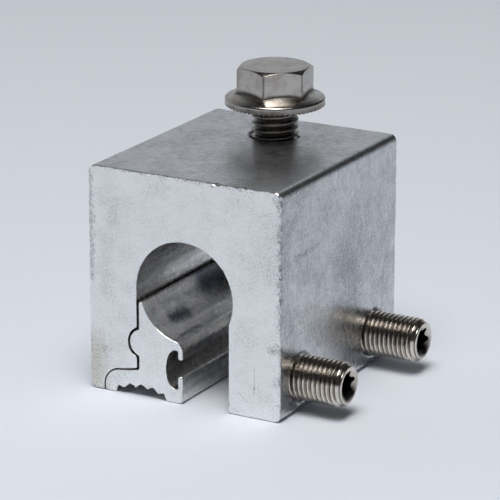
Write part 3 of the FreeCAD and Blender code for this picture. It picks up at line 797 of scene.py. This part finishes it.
def socket_rings(whole, turn, angles, sizes):
    """Rings from the end face in over the socket's coned mouth and lobed wall to its floor's middle.

    The cone goes down to where it meets the six-lobe outline. The mouth's low side gets painted shade, and
    the wall and floor painted shade with dirt.
    """
    lobes = lobe_outline(angles, turn, sizes)
    cone = sizes.mouth_depth / (sizes.mouth_radius - sizes.valley_radius)
    mouth = whole - (sizes.mouth_radius - lobes) * cone
    floor = whole - sizes.socket_depth
    # Painted shade on the mouth's low side
    shaded_low_side = np.clip(0.3 - np.sin(angles), 0, 1)
    return [
        (whole, sizes.mouth_radius, 0.6 * shaded_low_side),
        ((whole + mouth) / 2, (sizes.mouth_radius + lobes) / 2, shaded_low_side),
        (mouth, lobes, np.maximum(shaded_low_side, 0.3)), (mouth - SOCKET_SHADE_LINE, lobes, 0.85),
        ((mouth + floor) / 2, lobes, 0.9), (floor, lobes, 1.0), (floor, 0, 1.0),
    ]


def set_screw_mesh(node_name, turn, sizes):
    """Round-point set screw, drawn as rings from its tip to the floor of its socket.

    The tip is a sphere, place = radius - sqrt(radius^2 - r^2) behind the tip, and the
    threaded shank is coned off at the socket's end.
    """
    low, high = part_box(node_name)
    middle = (low + high) / 2
    shank = (high.z - low.z) / 2
    whole = high.x - low.x
    angles = np.linspace(0, 2 * np.pi, SCREW_COLUMNS + 1) + turn
    base = shank - sizes.point_chamfer
    face = shank - sizes.end_chamfer
    slope = math.tan(sizes.end_angle)

    def dome(radius):
        return sizes.point_radius - np.sqrt(sizes.point_radius ** 2 - radius ** 2)

    def envelope(place):
        point = base + np.maximum(place - dome(base), 0)
        socket_end = face + np.maximum(whole - place, 0) / slope
        return np.minimum(np.minimum(point, socket_end), shank), 1.0

    tip = [(dome(radius), radius, 0) for radius in base * np.sin(np.linspace(0, np.pi / 2, TIP_ROWS + 1))]
    edge = rounding((face, whole), -sizes.end_angle, -math.pi, sizes.edge_radius, 3)
    thread = threaded_shank(angles, dome(base), edge[0][0], sizes, envelope)
    rings = [*tip, thread, *edge, *socket_rings(whole, turn, angles, sizes)]
    return joined_rings(node_name + "_threaded", rings, angles, (low.x, middle.y, middle.z), 0)


def hexagon_outline(angles, sizes):
    """Polar radius of a hexagon: apothem / cos(angle from a flat's middle), with corner arcs."""
    apothem = sizes.across_flats / 2
    from_corner = from_sixth(angles, sizes.head_turn)
    from_flat = math.pi / 6 - np.abs(from_corner)
    straight = apothem / np.cos(from_flat)
    centre = (apothem - sizes.corner_radius) / math.cos(math.pi / 6)
    reach = np.maximum(sizes.corner_radius ** 2 - (centre * np.sin(from_corner)) ** 2, 0)
    rounded = centre * np.cos(from_corner) + np.sqrt(reach)
    tangent = math.atan((apothem - sizes.corner_radius) * math.tan(math.pi / 6) / apothem)
    return np.where(from_flat > tangent, rounded, straight)


def ratchet(radius, angles, sizes):
    """Height of the ratchet grooves under the flange: a ramp across each groove's fixed width."""
    half = math.pi * sizes.tooth_start / sizes.teeth
    turned = np.mod(angles * sizes.teeth / (2 * np.pi) + 0.5, 1.0) - 0.5
    offset = turned * 2 * np.pi / sizes.teeth * radius
    ramped = sizes.tooth_depth * np.clip((offset + half) / (2 * half), 0, 1)
    return np.where(np.abs(offset) <= half, ramped, 0.0)


def bolt_angles(sizes):
    """Angles of even columns to each ratchet tooth, with more round the hexagon's corners."""
    count = TOOTH_COLUMNS * sizes.teeth
    even = np.arange(count) * 2 * np.pi / count
    corners = np.arange(6)[:, None] * np.pi / 3 + np.radians(CORNER_COLUMNS)[None, :]
    base = np.unique(np.round(np.concatenate([even, np.mod(corners.ravel(), 2 * np.pi)]), 6))
    return np.append(base, base[0] + 2 * np.pi) + sizes.head_turn


def flange_rings(flange, angles, sizes):
    """Rings from the neck's hollow rounding out over the ratchet and up round the flange's rim."""
    neck, fillet = sizes.shank_radius, sizes.fillet
    toothed = (sizes.tooth_start + TOOTH_STEP, *np.multiply(TOOTH_ROWS, flange), flange - sizes.lip)
    rim = (flange, sizes.rim_height)
    return [
        # The last value of each ring is painted shade: darkest in the neck's hollow under the flange, less
        # over the ratchet, a band under the lip and down the rim, and little on the rim's rounded top
        (-0.4 * fillet, neck + 0.16 * fillet, 0.8), (0, neck + 0.8 * fillet, 0.8),
        (0, sizes.tooth_start, 0.6),
        *((ratchet(radius, angles, sizes), radius, 0.4) for radius in toothed),
        (ratchet(flange, angles, sizes) + sizes.lip, flange, 0.6),
        (sizes.rim_height - sizes.rim_radius * 1.2, flange, 0.3),
        *rounding(rim, -math.pi / 2, -math.pi - sizes.cone_angle, sizes.rim_radius, shade_and_grime=0.15),
    ]


def head_rings(flange, head, angles, sizes):
    """Rings up the flange's cone and the hexagon's sides and in over its chamfer to the top's middle.

    The head's side is the hexagon's polar outline, cut at the top by a cone,
    height = head height - (r - top radius) tan(angle).
    """
    hexagon = hexagon_outline(angles, sizes)
    halfway = (flange + hexagon) / 2
    top = head - (hexagon - sizes.top_radius) * math.tan(sizes.chamfer_angle)
    # Painted dark reflection along the hexagon's upright corners, up to the chamfer
    corner_dark_reflection = 0.6 * np.exp(-(from_sixth(angles, sizes.head_turn) / math.radians(1.5)) ** 2)

    def cone(radius):
        return sizes.rim_height + (flange - radius) * math.tan(sizes.cone_angle)
    return [
        (cone(halfway), halfway, 0), (cone(hexagon + FOOT_SHADE_OUT), hexagon + FOOT_SHADE_OUT, 0),
        # Painted shade in the crease at the hexagon's foot, fading out over the flange and up the head
        *rounding((hexagon, cone(hexagon)), -sizes.cone_angle, math.pi / 2, sizes.foot_radius, shade_and_grime=0.75),
        (cone(hexagon) + FOOT_SHADE_UP, hexagon, corner_dark_reflection),
        *rounding((hexagon, top), -math.pi / 2, -math.pi - sizes.chamfer_angle, sizes.edge_radius,
                  shade_and_grime=corner_dark_reflection),
        *rounding((sizes.top_radius, head), -sizes.chamfer_angle, -math.pi, sizes.edge_radius * 2, 3),
        (head, sizes.top_radius * 0.6, 0), (head, 0, 0),
    ]


def bolt_mesh(sizes):
    """Hex flange bolt, drawn as rings from its tip to the middle of its head.

    Heights are from the flange's underside. The thread fades out in the plain neck.
    """
    low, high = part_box("flange_bolt")
    middle = (low + high) / 2
    flange = (high.x - low.x) / 2
    seat = low.z + sizes.shank_length
    angles = bolt_angles(sizes)
    shank, tip, thread_end = sizes.shank_radius, -sizes.shank_length, -sizes.fillet

    def envelope(place):
        crest = np.minimum(shank - sizes.tip_chamfer + np.maximum(place - tip, 0), shank)
        return crest, np.clip((thread_end - place) / sizes.neck, 0, 1)

    # Painted shade from the flange over the whole shank, with painted shade and grime deeper in the thread
    # roots
    thread = threaded_shank(angles, tip, thread_end, sizes, envelope, rows_per_pitch=10, shade_and_grime=(0.4, 0.75),
                            root_power=3)
    rings = [(tip, 0, 0), (tip, shank - sizes.tip_chamfer - TIP_MARGIN, 0), thread,
             *flange_rings(flange, angles, sizes), *head_rings(flange, high.z - seat, angles, sizes)]
    return joined_rings("flange_bolt_threaded", rings, angles, (middle.x, middle.y, seat), 2)


def worn_piece(scene, name, node_name, body, slot, nicks, *marks, **finish):
    """Extruded piece of worn metal, with rubbed rims round its sawn ends."""
    settings = scene.roofclamp_aluminium
    metal = aluminium(slot + "_worn", settings, node_name, *marks, **finish)
    mesh = rubbed_copy(node_name, scene.roofclamp_rims, nicks)
    piece = add_piece(name, mesh, body, node_name, slot, metal, rim_metal(settings))
    piece.modifiers.new("Even shading", "WEIGHTED_NORMAL").keep_sharp = True


class ROOFCLAMP_OT_block(bpy.types.Operator):
    """Dress the extruded block"""
    bl_idname = "roofclamp.block"
    bl_label = "Clamp block"

    def execute(self, context):
        cloudy = (*on_face(1, BLOCK_LOW, FRONT_CLOUDY), *on_face(0, BLOCK_HIGH, RIGHT_CLOUDY),
                  *on_face(2, BLOCK_HIGH, TOP_CLOUDY), *EDGE_DARK_REFLECTION)
        sharp = (*on_face(1, BLOCK_LOW, FRONT_SHARP), *on_face(0, BLOCK_HIGH, RIGHT_SHARP), *EDGE_SHARP)
        worn_piece(context.scene, "block_body", "clamp_block", "block", "block_aluminium", FRONT_NICKS,
                   context.scene.roofclamp_aluminium.smudge_and_shade_color, cloudy, sharp)
        return {"FINISHED"}


class ROOFCLAMP_OT_insert(bpy.types.Operator):
    """Dress the gripping insert"""
    bl_idname = "roofclamp.insert"
    bl_label = "Gripping insert"

    def execute(self, context):
        worn_piece(context.scene, "insert_body", "gripping_insert", "insert", "insert_aluminium", (),
                   context.scene.roofclamp_aluminium.blotch_color, SADDLE_BLOTCHES, least=0.8, fray=1.2 * MM)
        return {"FINISHED"}


class ROOFCLAMP_OT_bolt(bpy.types.Operator):
    """Make the threaded hex flange bolt"""
    bl_idname = "roofclamp.bolt"
    bl_label = "Flange bolt"

    def execute(self, context):
        steel = context.scene.roofclamp_steel
        metal = stainless("bolt_stainless", steel, steel.bolt_color, steel.bolt_roughness)
        mesh = bolt_mesh(context.scene.roofclamp_bolt)
        add_piece("bolt_hex_flange", mesh, "bolt", "flange_bolt", "bolt_steel", metal)
        return {"FINISHED"}


class ROOFCLAMP_OT_screws(bpy.types.Operator):
    """Make the two threaded set screws"""
    bl_idname = "roofclamp.screws"
    bl_label = "Set screws"

    def execute(self, context):
        steel = context.scene.roofclamp_steel
        sizes = context.scene.roofclamp_screw
        metal = stainless("screw_stainless", steel, steel.screw_color, steel.screw_roughness)
        for end, turn in (("front", sizes.front_turn), ("rear", sizes.rear_turn)):
            name = "set_screw_" + end
            mesh = set_screw_mesh(name, turn, sizes)
            add_piece("threaded_" + name, mesh, end + "_screw", name, "screw_steel", metal)
        return {"FINISHED"}


def studio_floor(settings):
    """Large flat floor, unseen from below."""
    material, tree, shader = new_material("studio_floor")[:3]
    shader.inputs["Metallic"].default_value = 0.0
    shader.inputs["Roughness"].default_value = 0.75
    shader.inputs["Base Color"].default_value = (*settings.floor_color, 1.0)
    clear = node(tree, "ShaderNodeBsdfTransparent")
    back = node(tree, "ShaderNodeNewGeometry").outputs["Backfacing"]
    mix = node(tree, "ShaderNodeMixShader", {0: back, 1: shader.outputs[0], 2: clear.outputs[0]})
    output = next(part for part in tree.nodes if part.type == "OUTPUT_MATERIAL")
    tree.links.new(mix.outputs[0], output.inputs["Surface"])
    reach = settings.floor_reach
    mesh = bpy.data.meshes.new("studio_floor")
    mesh.from_pydata([(-reach, -reach, 0), (reach, -reach, 0), (reach, reach, 0), (-reach, reach, 0)], [],
                     [(0, 1, 2, 3)])
    mesh.materials.append(material)
    floor = linked("studio_floor", mesh)


def studio_world(settings):
    """Room by the direction looked in: pale near the floor, dark above, and a pale backdrop.

    The backdrop stands behind the clamp and to its left, and fades out upwards.
    """
    world = bpy.data.worlds.new("studio_world")
    world.use_nodes = True
    tree = world.node_tree
    tree.nodes.clear()
    direction = node(tree, "ShaderNodeTexCoord").outputs["Generated"]
    apart = node(tree, "ShaderNodeSeparateXYZ", {0: direction}).outputs
    height = maths(tree, "ARCSINE", apart["Z"])
    turn = maths(tree, "ARCTAN2", apart["X"], apart["Y"])

    def faded(value, low, high, start, end):
        return ramp(tree, value, math.radians(low), math.radians(high), start, end)
    near_floor = faded(height, 4, 9, 1.0, 0.0)
    across = maths(tree, "MULTIPLY", faded(turn, -120, -95, 0.0, 1.0), faded(turn, -9, 5, 1.0, 0.0))
    backdrop = maths(tree, "MULTIPLY", across, faded(height, 22, 62, 1.0, 0.0))
    amount = maths(tree, "MAXIMUM", near_floor, backdrop)
    sky = blended(tree, amount, settings.ceiling_color, settings.horizon_color)
    light = node(tree, "ShaderNodeBackground", {"Color": sky, "Strength": 1.0})
    output = tree.nodes.new("ShaderNodeOutputWorld")
    tree.links.new(light.outputs[0], output.inputs["Surface"])
    bpy.context.scene.world = world


def studio_lamp(settings):
    """Soft box overhead, facing down, which fades towards its edges."""
    data = bpy.data.lights.new("overhead_soft_box", "AREA")
    data.shape = "RECTANGLE"
    data.size, data.size_y = settings.lamp_size
    data.energy = settings.lamp_power
    data.color = settings.lamp_color
    data.use_nodes = True
    tree = data.node_tree
    tree.nodes.clear()
    spot = node(tree, "ShaderNodeNewGeometry").outputs["Parametric"]
    across = node(tree, "ShaderNodeSeparateXYZ", {0: spot})
    offsets = [maths(tree, "ABSOLUTE", maths(tree, "SUBTRACT", across.outputs[axis], 0.5)) for axis in "XY"]
    fades = [ramp(tree, offset, 0.5 - settings.lamp_softness, 0.5, 1.0, 0.0) for offset in offsets]
    strength = maths(tree, "POWER", maths(tree, "MULTIPLY", *fades), settings.lamp_focus)
    light = node(tree, "ShaderNodeEmission", {"Strength": strength})
    output = tree.nodes.new("ShaderNodeOutputLight")
    tree.links.new(light.outputs["Emission"], output.inputs["Surface"])
    linked("overhead_soft_box", data).location = settings.lamp_place


def studio_camera(settings):
    """Camera on a sphere about its target."""
    data = bpy.data.cameras.new("camera")
    data.lens = settings.lens
    data.sensor_width = 36.0
    data.clip_start = 0.01
    data.clip_end = 100.0
    level = math.cos(settings.elevation)
    back = Vector((math.sin(settings.azimuth) * level, -math.cos(settings.azimuth) * level,
                   math.sin(settings.elevation)))
    camera = linked("camera", data)
    turn = (-back).to_track_quat("-Z", "Y").to_matrix() @ Matrix.Rotation(settings.roll, 3, "Z")
    camera.rotation_euler = turn.to_euler()
    camera.location = Vector(settings.target) + back * settings.distance
    bpy.context.scene.camera = camera


class ROOFCLAMP_OT_stage(bpy.types.Operator):
    """Set the floor, the light and the camera"""
    bl_idname = "roofclamp.stage"
    bl_label = "Stage"

    def execute(self, context):
        settings = context.scene.roofclamp_stage
        studio_floor(settings)
        studio_world(settings)
        studio_lamp(settings)
        studio_camera(settings)
        context.scene.view_settings.view_transform = "Standard"
        return {"FINISHED"}


class ROOFCLAMP_PT_panel(bpy.types.Panel):
    """Roof clamp's pieces and stage"""
    bl_idname = "ROOFCLAMP_PT_panel"
    bl_label = "Roof Clamp"
    bl_space_type = "VIEW_3D"
    bl_region_type = "UI"
    bl_category = "Roof Clamp"

    def draw(self, context):
        for operator in OPERATORS:
            self.layout.operator(operator.bl_idname)


SETTINGS = {
    "roofclamp_rims": RoofClampRims,
    "roofclamp_aluminium": RoofClampAluminium,
    "roofclamp_steel": RoofClampSteel,
    "roofclamp_bolt": RoofClampBolt,
    "roofclamp_screw": RoofClampScrew,
    "roofclamp_stage": RoofClampStage,
}
OPERATORS = (ROOFCLAMP_OT_block, ROOFCLAMP_OT_insert, ROOFCLAMP_OT_bolt, ROOFCLAMP_OT_screws,
             ROOFCLAMP_OT_stage)
CLASSES = (*SETTINGS.values(), *OPERATORS, ROOFCLAMP_PT_panel)


def register():
    """Register the classes and hang the settings on the scene."""
    for kind in CLASSES:
        bpy.utils.register_class(kind)
    for name, kind in SETTINGS.items():
        setattr(bpy.types.Scene, name, PointerProperty(type=kind))


def unregister():
    """Take the settings and the classes away again."""
    for name in SETTINGS:
        delattr(bpy.types.Scene, name)
    for kind in reversed(CLASSES):
        bpy.utils.unregister_class(kind)


def main():
    """Register the classes, dress every piece and set the stage."""
    register()
    bpy.ops.roofclamp.block()
    bpy.ops.roofclamp.insert()
    bpy.ops.roofclamp.bolt()
    bpy.ops.roofclamp.screws()
    bpy.ops.roofclamp.stage()


if __name__ == "__main__":
    main()
